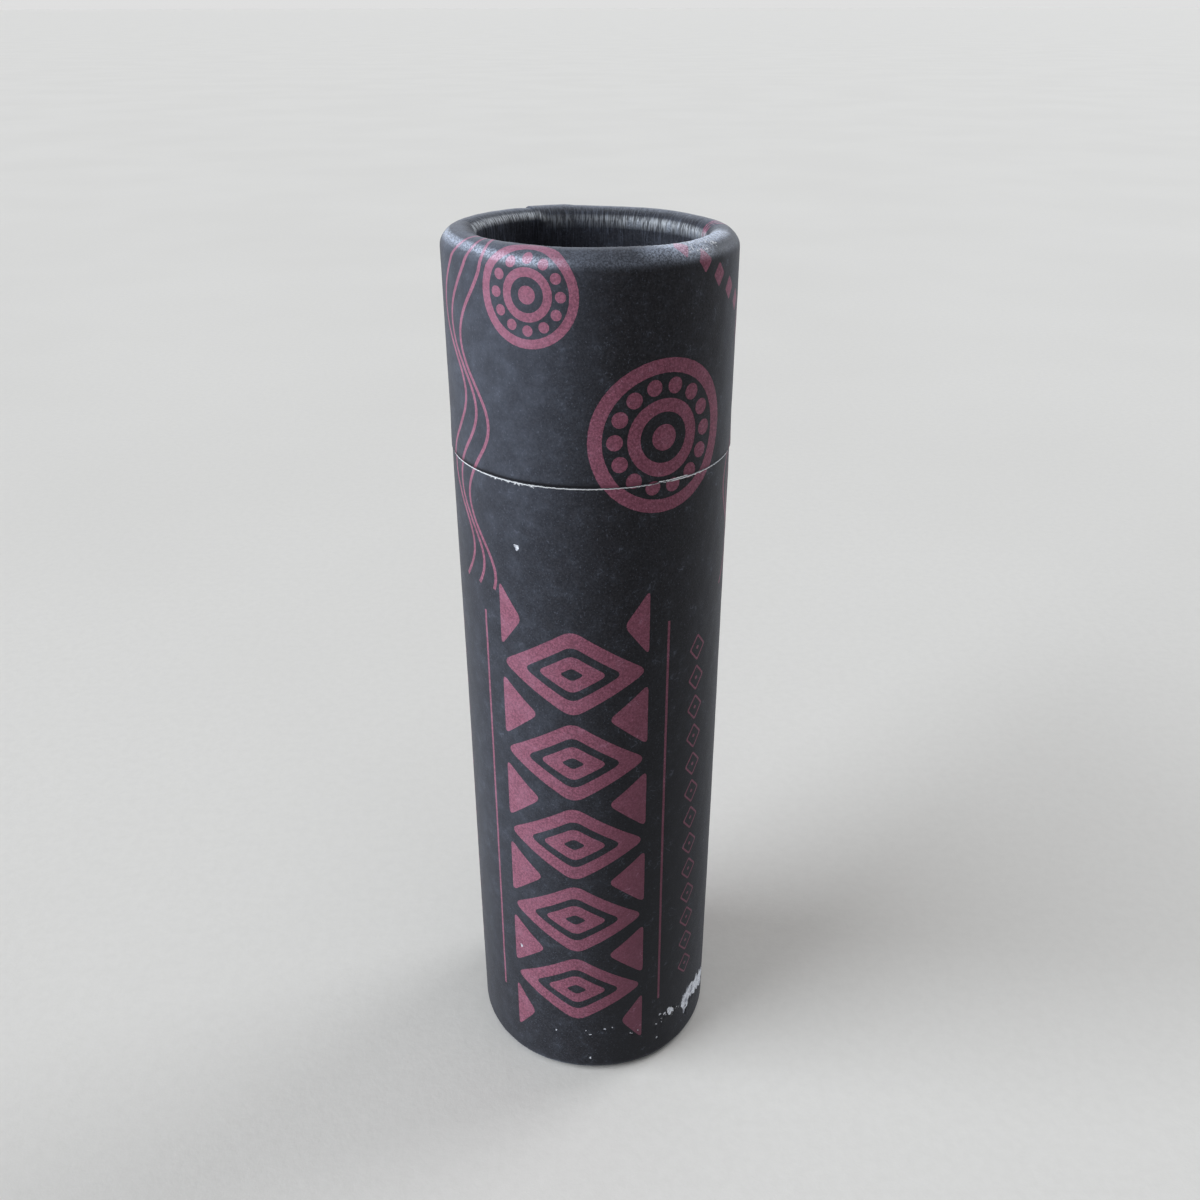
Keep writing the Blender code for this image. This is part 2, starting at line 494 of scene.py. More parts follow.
@dataclass
class Wrap:
    """One sheet of printed paper: where each place on it lies once it is rolled on.

    Its pleats, its rim's sway, tilt and lip and its cut edge's flare are heights, and tilt_angle
    is where the tilted rim is highest.
    """

    cut_height: float
    rim_height: float
    fold_columns: int
    seed: int
    pleats: float
    sway: float
    flare: float
    tilt: float = 0.0
    tilt_angle: float = 0.0
    lip: float = 0.0

    def __post_init__(self):
        self.upwards = 1 if self.rim_height > self.cut_height else -1
        self.length = abs(self.rim_height - self.cut_height)
        self.side = self.length - RIM_TURN
        self.droop = EDGE_DROOP if self.upwards > 0 else 0.0
        self.profile = rolled_profile(self.length)
        self.end = self.profile[0][-1]

    def up(self, distance):
        return self.cut_height + self.upwards * distance

    def past_side(self, distance, low, high):
        """smooth(), with its ends measured from where the straight side ends."""
        return smooth(distance, self.side + low, self.side + high)

    def band(self, distance, low, high, ease):
        """window(), with its ends measured from where the straight side ends."""
        return window(distance, self.side + low, self.side + high, ease)

    def form(self, across, distance):
        """How far the tube itself stands off its true line, board and paper alike."""
        angle = across / OUTER_RADIUS
        dents = DENT_HEIGHT * waves(angle, distance, DENT_WAVES, self.seed)
        rim = self.past_side(distance, *SWAY_STARTS)
        sway = waves(angle, distance, SWAY_WAVES, self.seed + 2)
        return dents + self.sway * rim * sway + self.flare * smooth(distance, FLARE_LENGTH, 0)

    def skin(self, across, distance):
        """How far the paper stands off the tube, from its laps, pleats, cockles and chips."""
        angle = across / OUTER_RADIUS
        seed = self.seed
        cockle = COCKLE_HEIGHT * waves(angle, distance, COCKLE_WAVES, seed + 1)
        fold = self.past_side(distance, *PLEATS_START)
        fold = fold * (1 - 0.65 * self.past_side(distance, *PLEATS_FADE))
        fine = np.abs(waves(angle, distance, FINE_PLEATS, seed + 3))
        broad = np.abs(waves(angle, distance, BROAD_PLEATS, seed + 6))
        patches = 0.7 + 0.3 * waves(angle, distance, PLEAT_PATCHES, seed + 4)
        pleats = self.pleats * fold * patches * (1.2 - 0.7 * fine - 0.8 * broad)
        over = LAP_STEP * smooth(across, SHEET_HIGH - LAP - LAP_RAMP, SHEET_HIGH - LAP)
        under = LAP_STEP * smooth(across, SHEET_LOW + LAP + LAP_RAMP, SHEET_LOW + LAP)
        chips = chip_depth(across, self.up(distance))
        return cockle + pleats + over - under - chips

    def fray(self, across, distance):
        """How far the cut edge strays along the tube."""
        angle = across / OUTER_RADIUS
        near = smooth(distance, FRAY_LENGTH, 0)
        return FRAY_HEIGHT * near * waves(angle, distance, FRAY_WAVES, self.seed + 5)

    def place(self, across, distance, stand):
        """Points this far off the true line of the printed face."""
        line, *courses = self.profile
        radius, run, radial, axial = [np.interp(distance, line, course) for course in courses]
        angle = across / OUTER_RADIUS
        tilted = self.tilt * np.cos(angle - self.tilt_angle)
        raised = self.lip * (1 + 0.5 * np.cos(angle))
        radius = radius + radial * stand
        run = run + axial * stand + self.fray(across, distance)
        run = run - self.droop * smooth(distance, DROOP_LENGTH, 0)
        run = run + tilted * self.past_side(distance, *TILT_STARTS)
        run = run + raised * self.past_side(distance, *LIP_STARTS)
        height = np.maximum(self.cut_height + self.upwards * run, 0)
        return ring(radius, angle, height)

    def face(self, across, distance, below=0.0):
        stand = self.form(across, distance) + self.skin(across, distance) - below
        return self.place(across, distance, stand)

    def normals(self, across, distance):
        step = NORMAL_STEP
        sideways = self.face(across + step, distance) - self.face(across - step, distance)
        onwards = self.face(across, distance + step) - self.face(across, distance - step)
        normal = np.cross(sideways, onwards) * self.upwards
        return normal / np.linalg.norm(normal, axis=-1, keepdims=True)

    def rows(self):
        """The rows of points across the sheet: each row's distance and how many points it has."""
        side = self.side
        edge = [(place * MM, EDGE_COLUMNS) for place in EDGE_ROWS_MM]
        count = int(side / SIDE_ROW)
        wall = [(side * step / count, SIDE_COLUMNS) for step in range(1, count)]
        first = np.linspace(side, side + QUARTER, ARC_ROWS)
        second = np.linspace(side + QUARTER + RIM_LAND, side + 2 * QUARTER + RIM_LAND, ARC_ROWS)
        tuck = np.linspace(side + 2 * QUARTER + RIM_LAND, self.end, TUCK_ROWS)[1:]
        rows = edge + wall + [(distance, SIDE_COLUMNS * 2) for distance in first]
        return rows + [(distance, self.fold_columns) for distance in [*second, *tuck]]


def close_spaced(outline):
    """The outline with points added wherever two are far apart."""
    points = []
    for here, there in zip(outline, outline[1:] + outline[:1]):
        count = max(1, math.ceil((there - here).length / OUTLINE_SPACING))
        points += [here.lerp(there, step / count) for step in range(count)]
    return points


def signed_area(outline):
    pairs = zip(outline, outline[1:] + outline[:1])
    return sum(here.cross(there) for here, there in pairs) / 2


def flat_triangles(wrap, outlines):
    """Triangles of the flat sheet: points, triangles, and for each triangle what it is in."""
    points = []
    left, right = [], []
    for distance, columns in wrap.rows():
        left.append(len(points))
        for step in range(columns + 1):
            across = SHEET_LOW + (SHEET_HIGH - SHEET_LOW) * step / columns
            points.append(Vector((across, distance)))
        right.append(len(points) - 1)
    bottom = list(range(left[0], right[0] + 1))
    top = list(range(left[-1], right[-1] + 1))
    faces = [bottom + right[1:-1] + top[::-1] + left[1:-1][::-1]]
    kinds = [None]
    for kind, outline in outlines:
        flat = [Vector((point.x, (point.y - wrap.cut_height) * wrap.upwards)) for point in outline]
        reach = [point.y for point in flat]
        if max(reach) < 0 or min(reach) > wrap.end:
            continue
        flat = close_spaced(flat)
        if signed_area(flat) < 0:
            flat.reverse()
        faces.append(list(range(len(points), len(points) + len(flat))))
        points += flat
        kinds.append(kind)
    scaled = [point / MM for point in points]
    found = geometry.delaunay_2d_cdt(scaled, [], faces, WHOLE_HULL, ONE_POINT)
    spots, _, corners, _, _, owners_of = found
    places = np.array([spot[:] for spot in spots]) * MM
    triangles, inside = [], []
    for triangle, owners in zip(corners, owners_of):
        if 0 not in owners:
            continue
        triangles.append(triangle)
        marks = [kinds[owner] for owner in owners]
        printed = PRINT if marks.count(PRINT) % 2 else None
        inside.append(CHIP if CHIP in marks else printed)
    used = np.unique(np.array(triangles))
    renumber = np.full(len(places), -1)
    renumber[used] = np.arange(len(used))
    return places[used], renumber[np.array(triangles)], inside


def boundary_edges(triangles):
    """The edges that only one triangle has, each in that triangle's own order."""
    edges = np.concatenate([triangles[:, [0, 1]], triangles[:, [1, 2]], triangles[:, [2, 0]]])
    ordered = np.sort(edges, axis=1)
    _, place, count = np.unique(ordered, axis=0, return_index=True, return_counts=True)
    return edges[place[count == 1]]


# Zones of wear, painted highlight, painted sheen and painted shade: from, to, and how far they fade
# beyond, first across the paper, then as angles
CAP_EDGE_WORN = mm(4.8, 6.8, 0.6)
CAP_RIM_WORN = mm(7.2, 10.0, 1.5)
SEAM_FRAYED_LEFT = mm(-7.6, -4.0, 1.2)
FOOT_KNOCKED = mm(7.5, 15.0, 4)
SEAM_FRAYED_RIGHT = (0.62, 0.95, 0.12)
SEAM_LIT_RIGHT = (0.70, 1.50, 0.20)
OUTER_LEFT_END = (-1.6, -1.0, 0.6)
OUTER_FRONT_LEFT = (-1.4, -0.35, 0.3)
BEND_LEFT = (-1.6, 0.1, 0.5)
BURNISH_HIGHLIGHT_RIGHT = (0.45, 0.85, 0.22)
BURNISH_HIGHLIGHT_RIGHT_MOST = (0.66, 0.85, 0.15)
TOP_DULL = (-1.4, 0.2, 0.4)
TOP_BRIGHT = (0.60, 1.25, 0.25)
BACK_LEFT = (-2.6, -1.7, 0.15)
BACK_RIGHT = (1.8, 2.75, 0.35)
PAINTED_SHEEN_RIGHT = (1.2, 1.8, 0.25)
PAINTED_SHADE_RIGHT = (0.40, 1.3, 0.75)

# The same along the paper, past the end of the straight side
CAP_RIM_BAND = mm(0.9, 1.7, 0.35)
BEND_BAND = mm(0.7, 1.9, 0.7)

# Where wear, painted highlight, painted sheen and painted shade start and where they are full:
# angles, distances past the side, or heights
TOP_BACK = (1.9, 2.6)
INNER_BACK = (0.8, 1.6)
PAINTED_SHEEN_BACK = (0.8, 1.8)
PAINTED_SHEEN_FROM = (-1.8, -1.0)
PAINTED_SHEEN_TO = (0.30, -0.60)
RIGHT_HIGHLIGHT_START = mm(0.1, 1.3)
RIGHT_HIGHLIGHT_END = mm(1.9, 1.5)
PAINTED_SHEEN_INSIDE = mm(0.9, 1.9)
FOLDS_START = mm(2.0, 2.8)
FOLDS_FADE = mm(3.3, 4.6)
PAINTED_SHEEN_CAP = (BODY_TOP - 9 * MM, BODY_TOP + 9 * MM)
PAINTED_SHEEN_BODY = mm(2, 26)
PAINTED_SHADE_LOW = (BODY_TOP + 4 * MM, 14 * MM)

# How far from the cut edge, or from the middle of a line or patch, wear, painted highlight and
# painted shade end and are full
CAP_EDGE = mm(0.14, 0.03)
SEAM_EDGE = mm(0.10, 0.04)
SEAM_FRAYED = mm(0.50, 0.10)
PAINTED_GAP_SHADE_EDGE = mm(0.28, 0.12)
KNOCKED = mm(1.2, 0.2)
OUTER_LINE = mm(0.42, 0.05)
TOP_LINE = mm(0.9, 0.25)
INNER_LINE = mm(0.40, 0.06)

# Middles of those: heights, distances past the side and how far these shift, and an angle
KNOCKED_MIDDLE = 4.2 * MM
OUTER_MIDDLE, OUTER_SHIFT = 0.62 * MM, 0.35 * MM
TOP_MIDDLE = 1.85 * MM
INNER_MIDDLE, INNER_SHIFT = 3.2 * MM, 0.43 * MM
SEAM_LIT_MIDDLE = -1.1


def around(across):
    """The angle of a place, from half a turn on the left to half a turn on the right."""
    return (across / OUTER_RADIUS + math.pi) % TURN - math.pi


def scuff_amount(wrap, across, distance):
    """How much the paper's white core shows: along the cut edge, and round the knocked foot. Along
    the seam it is also painted wider where light falls, as painted light.
    """
    angle = across / OUTER_RADIUS
    uneven = 0.5 + 0.5 * waves(angle, distance * 0, SCUFF_WAVES, seed=31)
    if wrap.upwards > 0:
        worn = np.maximum(0.25 * uneven, 0.75 * window(across, *CAP_EDGE_WORN))
        rubbed = 0.50 * wrap.band(distance, *CAP_RIM_BAND) * window(across, *CAP_RIM_WORN)
        return smooth(distance, *CAP_EDGE) * worn + rubbed
    # Painted light: the seam's white edge is painted wider towards the lit left front and the lit
    # right, on top of its real scuffing.
    lit = 0.45 + 0.35 * np.cos(angle - SEAM_LIT_MIDDLE) + 0.35 * uneven
    lit = lit + 0.45 * window(angle, *SEAM_LIT_RIGHT)
    frayed = window(across, *SEAM_FRAYED_LEFT) + 0.9 * window(angle, *SEAM_FRAYED_RIGHT)
    frayed = frayed * smooth(distance, *SEAM_FRAYED)
    knocked = window(across, *FOOT_KNOCKED)
    knocked = knocked * smooth(np.abs(wrap.up(distance) - KNOCKED_MIDDLE), *KNOCKED)
    return np.maximum(smooth(distance, *SEAM_EDGE) * lit, 0.52 * frayed) + 0.46 * knocked


def burnish_and_highlight_amount(wrap, across, distance):
    """How much the rolling tool and handling have burnished the paper round the rim, which lowers
    its roughness, and how much it is painted pale as a highlight where its bends catch the light.
    """
    angle = around(across)
    # Painted highlight: each band below paints the colour pale where a bend catches the light. The
    # same amount also lowers the roughness, as real burnish does.
    middle = wrap.side + OUTER_MIDDLE + OUTER_SHIFT * window(angle, *OUTER_LEFT_END)
    outer = smooth(np.abs(distance - middle), *OUTER_LINE)
    outer = outer * (0.16 + 0.84 * window(angle, *OUTER_FRONT_LEFT))
    bend = wrap.band(distance, *BEND_BAND) * (0.08 + 0.05 * window(angle, *BEND_LEFT))
    right_highlight = wrap.past_side(distance, *RIGHT_HIGHLIGHT_START) * wrap.past_side(distance, *RIGHT_HIGHLIGHT_END)
    right_highlight = right_highlight * window(angle, *BURNISH_HIGHLIGHT_RIGHT) * (0.55 + 0.45 * window(angle, *BURNISH_HIGHLIGHT_RIGHT_MOST))
    top = smooth(np.abs(distance - wrap.side - TOP_MIDDLE), *TOP_LINE)
    plain = 0.18 - 0.12 * window(angle, *TOP_DULL) + 0.12 * smooth(np.abs(angle), *TOP_BACK)
    top = top * (plain + (1.25 - plain) * window(angle, *TOP_BRIGHT))
    back_left = window(angle, *BACK_LEFT)
    middle = wrap.side + INNER_MIDDLE - INNER_SHIFT * back_left
    inner = smooth(np.abs(distance - middle), *INNER_LINE)
    ends = np.maximum(back_left, window(angle, *BACK_RIGHT))
    inner = inner * (0.45 + 0.55 * ends + 0.35 * back_left) * smooth(np.abs(angle), *INNER_BACK)
    rim_share = 1.0 if wrap.upwards > 0 else 0.3
    return rim_share * np.max([outer, bend, right_highlight, top, inner], axis=0)


def fold_amount(wrap, across, distance):
    """Where the paper is gathered: round the rim's inner bend, and less and less below it."""
    angle = across / OUTER_RADIUS
    ragged = FOLD_RAGGED * waves(angle, distance * 0, FOLD_WAVES, wrap.seed + 7)
    gathered = wrap.past_side(distance, *FOLDS_START)
    return gathered * (1 - 0.75 * wrap.past_side(distance + ragged, *FOLDS_FADE))


def painted_gap_shade_amount(wrap, across, distance):
    """Painted shade: the cap's cut edge is painted dark just above the seam, where the gap between
    cap and body lies in shadow.
    """
    gap_shade = 0.9 if wrap.upwards > 0 else 0.0
    return gap_shade * smooth(distance, *PAINTED_GAP_SHADE_EDGE)


def painted_sheen_amount(wrap, across, distance):
    """Painted sheen: how much the paper is painted lighter and bluer where light falls on it, most
    on the cap's front left, and inside its rim.
    """
    angle = around(across)
    up = wrap.up(distance)
    # Painted sheen: lighter, bluer paper on the side the left light falls on, at the cap's right
    # edge, and inside the rim.
    lit_left = smooth(angle, *PAINTED_SHEEN_FROM) * smooth(angle, *PAINTED_SHEEN_TO)
    capped = smooth(up, *PAINTED_SHEEN_CAP)
    right = 0.14 * capped * window(angle, *PAINTED_SHEEN_RIGHT)
    inside = 0.15 * wrap.past_side(distance, *PAINTED_SHEEN_INSIDE)
    inside = inside * capped * smooth(np.abs(angle), *PAINTED_SHEEN_BACK)
    return 0.01 + lit_left * (0.11 + 0.13 * smooth(up, *PAINTED_SHEEN_BODY) + 0.21 * capped) + right + inside


def painted_right_shade_amount(wrap, across, distance):
    """Painted shade: where the paper is painted deeper black, with few specks: at the right, most
    of all low down.
    """
    low = smooth(wrap.up(distance), *PAINTED_SHADE_LOW)
    return window(around(across), *PAINTED_SHADE_RIGHT) * (0.38 + 0.40 * low)


AMOUNTS = {
    "scuff": scuff_amount,
    "burnish_and_highlight": burnish_and_highlight_amount,
    "painted_sheen": painted_sheen_amount,
    "fold": fold_amount,
    "painted_gap_shade": painted_gap_shade_amount,
    "painted_right_shade": painted_right_shade_amount,
}

# The map: how tall the printed face is on it, then how tall and how high up the back and edges are
MAP_FACE = 0.94
MAP_BACK = (0.02, 0.96)
MAP_EDGES = (0.01, 0.985)


def link_piece(name, mesh, materials):
    for material in materials:
        mesh.materials.append(material)
    piece = bpy.data.objects.new(name, mesh)
    bpy.context.scene.collection.objects.link(piece)
    return piece


def make_wrap(name, wrap, outlines, materials):
    """Builds the rolled sheet as a closed mesh: printed face, back, and cut edges."""
    flat, triangles, inside = flat_triangles(wrap, outlines)
    across, distance = flat[:, 0], flat[:, 1]
    front = wrap.face(across, distance)
    back = wrap.face(across, distance, below=PAPER)
    normals = wrap.normals(across, distance)
    if wrap.upwards < 0:
        triangles = triangles[:, ::-1]
    count = len(front)
    edges = boundary_edges(triangles)
    rim = np.stack([edges[:, 1], edges[:, 0], edges[:, 0] + count, edges[:, 1] + count], -1)
    ends = np.isclose(across[edges[:, 0]], across[edges[:, 1]], rtol=0, atol=SAME_PLACE)
    faces = triangles.tolist() + (triangles[:, ::-1] + count).tolist() + rim.tolist()
    mesh = bpy.data.meshes.new(name)
    mesh.from_pydata(np.concatenate([front, back]).tolist(), [], faces)
    slots = {None: 0, PRINT: 1, CHIP: 2}
    indices = [slots[kind] for kind in inside] + [0] * len(triangles)
    # Painted shade: the lap's cut ends take the black paper, not the white core, so the lap's edge
    # reads dark.
    indices += [0 if end else slots[CHIP] for end in ends]
    mesh.polygons.foreach_set("material_index", indices)
    smooth_faces = [True] * (2 * len(triangles)) + [False] * len(rim)
    mesh.polygons.foreach_set("use_smooth", smooth_faces)
    mesh.normals_split_custom_set(np.concatenate([
        normals[triangles].reshape(-1, 3),
        -normals[triangles[:, ::-1]].reshape(-1, 3),
        np.zeros((4 * len(rim), 3)),
    ]).tolist())
    for label, amount in AMOUNTS.items():
        values = amount(wrap, across, distance)
        attribute = mesh.attributes.new(label, "FLOAT", "POINT")
        both = np.concatenate([values, values]).astype(np.float32)
        attribute.data.foreach_set("value", both)
    share = (across - SHEET_LOW) / (SHEET_HIGH - SHEET_LOW)
    shown = np.stack([share, MAP_FACE * distance / wrap.end], -1)
    hidden = shown * (1, MAP_BACK[0]) + (0, MAP_BACK[1])
    edge_places = np.concatenate([shown, hidden])[rim.reshape(-1)]
    places = np.concatenate([
        shown[triangles].reshape(-1, 2),
        hidden[triangles[:, ::-1]].reshape(-1, 2),
        edge_places * (1, MAP_EDGES[0]) + (0, MAP_EDGES[1]),
    ])
    layer = mesh.uv_layers.new(name="OFBake")
    layer.data.foreach_set("uv", places.astype(np.float32).reshape(-1))
    mesh.update()
    return link_piece(name, mesh, materials)


# Turned pieces: board tubes, discs and the balm


def loft(name, rings, material, sharp=SHARP_DEGREES):
    """A closed skin through rings of points. Rings of no radius become one point."""
    grid = np.array(rings)
    rows, columns, _ = grid.shape
    number = np.arange(rows * columns).reshape(rows, columns)
    solid = np.allclose(grid[0][:, :2], 0) and np.allclose(grid[-1][:, :2], 0)
    faces = []
    for row in range(rows - 1 if solid else rows):
        here, there = number[row], number[(row + 1) % rows]
        quads = np.stack([here, np.roll(here, -1), np.roll(there, -1), there], -1)
        faces += quads.tolist()
    mesh = bpy.data.meshes.new(name)
    mesh.from_pydata(grid.reshape(-1, 3).tolist(), [], faces)
    form = bmesh.new()
    form.from_mesh(mesh)
    bmesh.ops.remove_doubles(form, verts=form.verts, dist=SAME_POINT)
    bmesh.ops.dissolve_degenerate(form, edges=form.edges, dist=NO_LENGTH)
    bmesh.ops.recalc_face_normals(form, faces=form.faces)
    form.to_mesh(mesh)
    form.free()
    mesh.polygons.foreach_set("use_smooth", [True] * len(mesh.polygons))
    mesh.set_sharp_from_angle(angle=math.radians(sharp))
    return link_piece(name, mesh, [material])


def spin(name, outline, material, wobble, columns=SPIN_COLUMNS, sharp=SHARP_DEGREES):
    """Turns an outline of (radius, height) points round the tube's line."""
    angle = np.arange(columns) * TURN / columns
    rings = []
    for radius, height in outline:
        radii = np.full(columns, float(radius))
        heights = np.full(columns, float(height))
        if radius > 0:
            radial, axial = wobble(angle, radius, height)
            radii = radii + radial
            heights = heights + axial
        rings.append(ring(radii, angle, heights))
    return loft(name, rings, material, sharp)


def plies(start, end, height, sink, count):
    """Points across a cut edge of board, from radius start to end, with the lines between plies."""
    points = []
    slot = PLY_GROOVE_HALF_WIDTH * (1 if end > start else -1)
    for place in range(1, count):
        radius = start + (end - start) * place / count
        points += [(radius - slot, height), (radius, height - sink), (radius + slot, height)]
    return points


def span(radius, low, high, step=2.0 * MM):
    """Points up or down a straight side."""
    count = max(1, round(abs(high - low) / step))
    return [(radius, low + (high - low) * place / count) for place in range(count + 1)]


def tube_outline(node, wall):
    """A board tube of two plies, in the place of a node."""
    foot, top, outer = extent(node)
    inner = outer - wall
    return [
        *span(outer, foot + EASE, top - EASE),
        (outer - EASE, top),
        *plies(outer, inner, top, PLY_GROOVE, 2),
        (inner + EASE, top),
        *span(inner, top - EASE, foot + EASE),
        (inner + EASE, foot),
        *plies(inner, outer, foot, -PLY_GROOVE, 2),
        (outer - EASE, foot),
    ]


def liner_outline():
    foot, top, outer = extent("neck_liner")
    return [*span(outer, foot, top), *span(outer - LINER_WALL, top, foot)]


def board_wobble(seed, reach=0.010):
    """Unevenness of wound board, in millimetres: waves on its sides, and fuzz on its cut edges."""
    def wobble(angle, radius, height):
        along = np.full(angle.shape, height + 3 * radius)
        wave = reach * MM * waves(angle, along, BOARD_WAVES, seed)
        return wave, 0.4 * reach * MM * waves(angle, along, FUZZ_WAVES, seed + 1)
    return wobble


def make_board_tube(name, wrap, material):
    """The wound board under a wrap, rolled in at the rim with it."""
    angle = np.arange(SPIN_COLUMNS) * TURN / SPIN_COLUMNS
    across = angle * OUTER_RADIUS + SHEET_LOW
    line = wrap.profile[0]
    joint = smooth(np.abs(across - SHEET_LOW - LAP / 2), LAP / 2 + LAP_RAMP, LAP / 2)
    joint = np.maximum(joint, smooth(across, SHEET_HIGH - LAP - LAP_RAMP, SHEET_HIGH - LAP))
    rings = []
    cut = BOARD_SINK + EASE
    side = np.linspace(1.0 * MM, wrap.side, BOARD_ROWS)
    distances = [BOARD_SINK, cut, *side, *line[3:-1], line[-1] - EASE]
    for place, distance in enumerate(distances):
        gone = np.full(across.shape, float(distance))
        stand = wrap.form(across, gone) - PAPER - GLUE - LAP_STEP * joint
        if place in (0, len(distances) - 1):
            stand = stand - EASE
        rings.append(wrap.place(across, gone, stand))
    rolled_radius = wrap.profile[1][-1] + PAPER
    inner_bore = OUTER_RADIUS - PAPER - BOARD_WALL
    inner_roll = rolled_radius + BOARD_WALL
    crease = wrap.length - BOARD_WALL - PAPER
    rolled_end = wrap.length - TUCK_DEPTH
    fuzz = board_wobble(wrap.seed + 9)
    inside = [
        *plies(rolled_radius, inner_roll, rolled_end, -PLY_GROOVE, 3),
        (inner_roll, rolled_end),
        (inner_roll, crease),
        (inner_bore, crease),
        *span(inner_bore, crease - 1.0 * MM, cut),
        (inner_bore + EASE, BOARD_SINK),
        *plies(inner_bore, OUTER_RADIUS - PAPER, BOARD_SINK, -PLY_GROOVE, 3),
    ]
    turn = across / OUTER_RADIUS
    for radius, distance in inside:
        radial, axial = fuzz(turn, radius, distance)
        rings.append(ring(radius + radial, turn, wrap.up(distance + axial)))
    return loft(name, rings, material)


def balm_outline():
    """The poured stick, which fills the cup and stands above it with a dished top."""
    cup_radius = SLEEVE_RADIUS - SLEEVE_WALL - CUP_GAP
    cup_top = SLEEVE_TOP + EASE
    points = [(0, BALM_FOOT), (cup_radius - EASE, BALM_FOOT), (cup_radius, BALM_FOOT + EASE)]
    points += [(cup_radius, cup_top), (BALM_RADIUS - EASE, cup_top + EASE)]
    points += span(BALM_RADIUS, cup_top + 2 * EASE, BALM_TOP - 2 * BALM_EDGE, 1.5 * MM)
    for step in range(EDGE_STEPS + 1):
        angle = math.pi / 2 * step / EDGE_STEPS
        radius = BALM_RADIUS - BALM_EDGE * (1 - math.cos(angle))
        points.append((radius, BALM_TOP - BALM_EDGE * (1 - math.sin(angle))))
    rim = BALM_RADIUS - BALM_EDGE
    for step in range(1, DISH_STEPS + 1):
        share = 1 - step / DISH_STEPS
        dish = BALM_DISH * (1 - share ** 4) * (0.75 + 0.25 * math.cos(math.pi * share))
        points.append((rim * share, BALM_TOP - dish))
    return points


def balm_wobble(angle, radius, height):
    """Drag marks down the side and slow ripples on the poured top."""
    along = np.full(angle.shape, height)
    drag = np.abs(waves(angle, along, DRAG_WAVES, seed=61))
    side = smooth(radius, BALM_RADIUS - 0.1 * MM, BALM_RADIUS)
    flat = smooth(radius, BALM_RADIUS - 0.3 * MM, BALM_RADIUS - 1.2 * MM)
    high = 1.0 if height > BALM_TOP - 1 * MM else 0.0
    ripple = waves(angle, np.full(angle.shape, radius), RIPPLE_WAVES, seed=62)
    calm = min(radius / (2 * MM), 1)
    return DRAG_DEPTH * drag * side, RIPPLE_HEIGHT * ripple * flat * high * calm


def disc_outline(node, count):
    """A disc punched from board of this many plies, with closely ringed faces."""
    foot, top, radius = extent(node)
    points = [(radius * step / DISC_RINGS, foot) for step in range(DISC_RINGS)]
    points += [(radius - EASE, foot), (radius, foot + EASE)]
    for place in range(1, count):
        height = foot + (top - foot) * place / count
        points += [(radius, height - DISC_GROOVE), (radius - DISC_GROOVE, height)]
        points.append((radius, height + DISC_GROOVE))
    points += [(radius, top - EASE), (radius - EASE, top)]
    points += [(radius * step / DISC_RINGS, top) for step in range(DISC_RINGS - 1, -1, -1)]
    return points


def disc_wobble(seed, reach):
    """Slow waves on a disc's faces, this high in millimetres, and calm at its centre."""
    def wobble(angle, radius, height):
        wave = reach * MM * waves(angle, np.full(angle.shape, radius), DISC_WAVES, seed)
        return 0, wave * min(radius / (1.5 * MM), 1)
    return wobble


# Materials


class Nodes:
    """Short calls for the nodes of one tree."""

    def __init__(self, tree):
        self.tree = tree

    def link(self, value, socket):
        if isinstance(value, bpy.types.NodeSocket):
            self.tree.links.new(value, socket)
        else:
            socket.default_value = value

    def new(self, kind, *values, **settings):
        """A node with its settings, and what feeds its first inputs."""
        node = self.tree.nodes.new("ShaderNode" + kind)
        for name, setting in settings.items():
            setattr(node, name, setting)
        for value, socket in zip(values, node.inputs):
            self.link(value, socket)
        return node

    def maths(self, operation, first, second=0.0):
        return self.new("Math", first, second, operation=operation).outputs[0]

    def times(self, first, second):
        return self.maths("MULTIPLY", first, second)


